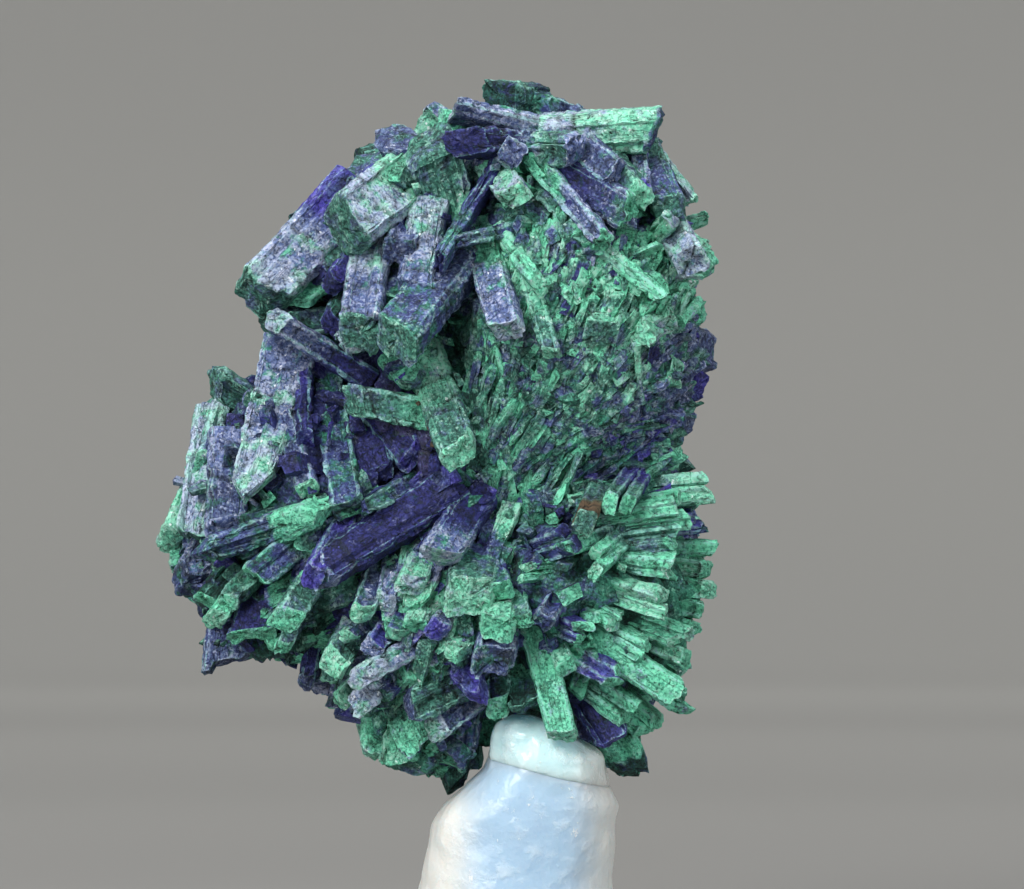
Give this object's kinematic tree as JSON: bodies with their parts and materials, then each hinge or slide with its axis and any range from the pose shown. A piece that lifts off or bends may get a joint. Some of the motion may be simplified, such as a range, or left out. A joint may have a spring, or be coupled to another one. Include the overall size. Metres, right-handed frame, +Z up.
{
  "type": "azurite-malachite specimen",
  "caption": "Natural cluster of tabular azurite and malachite crystals, held upright on a translucent display post with a bead of clear tack.",
  "frame": {"origin": "middle of the post's flat foot, on the surface that it stands on", "axes": "+Z up along the post, +X to the viewer's right, the specimen's best side towards -Y"},
  "size_m": [0.034, 0.0246, 0.0528],
  "materials": {
    "azurite_malachite": "matt green and blue crystals, pitted and striated; stone, not plastic",
    "clear_tack": "clear, slightly greenish, glossy",
    "post_plastic": "milky pale blue, translucent, satin"
  },
  "bodies": {
    "root": {"crystal_cluster": "azurite_malachite", "tack_bead": "clear_tack", "display_post": "post_plastic"}
  },
  "joints": []
}
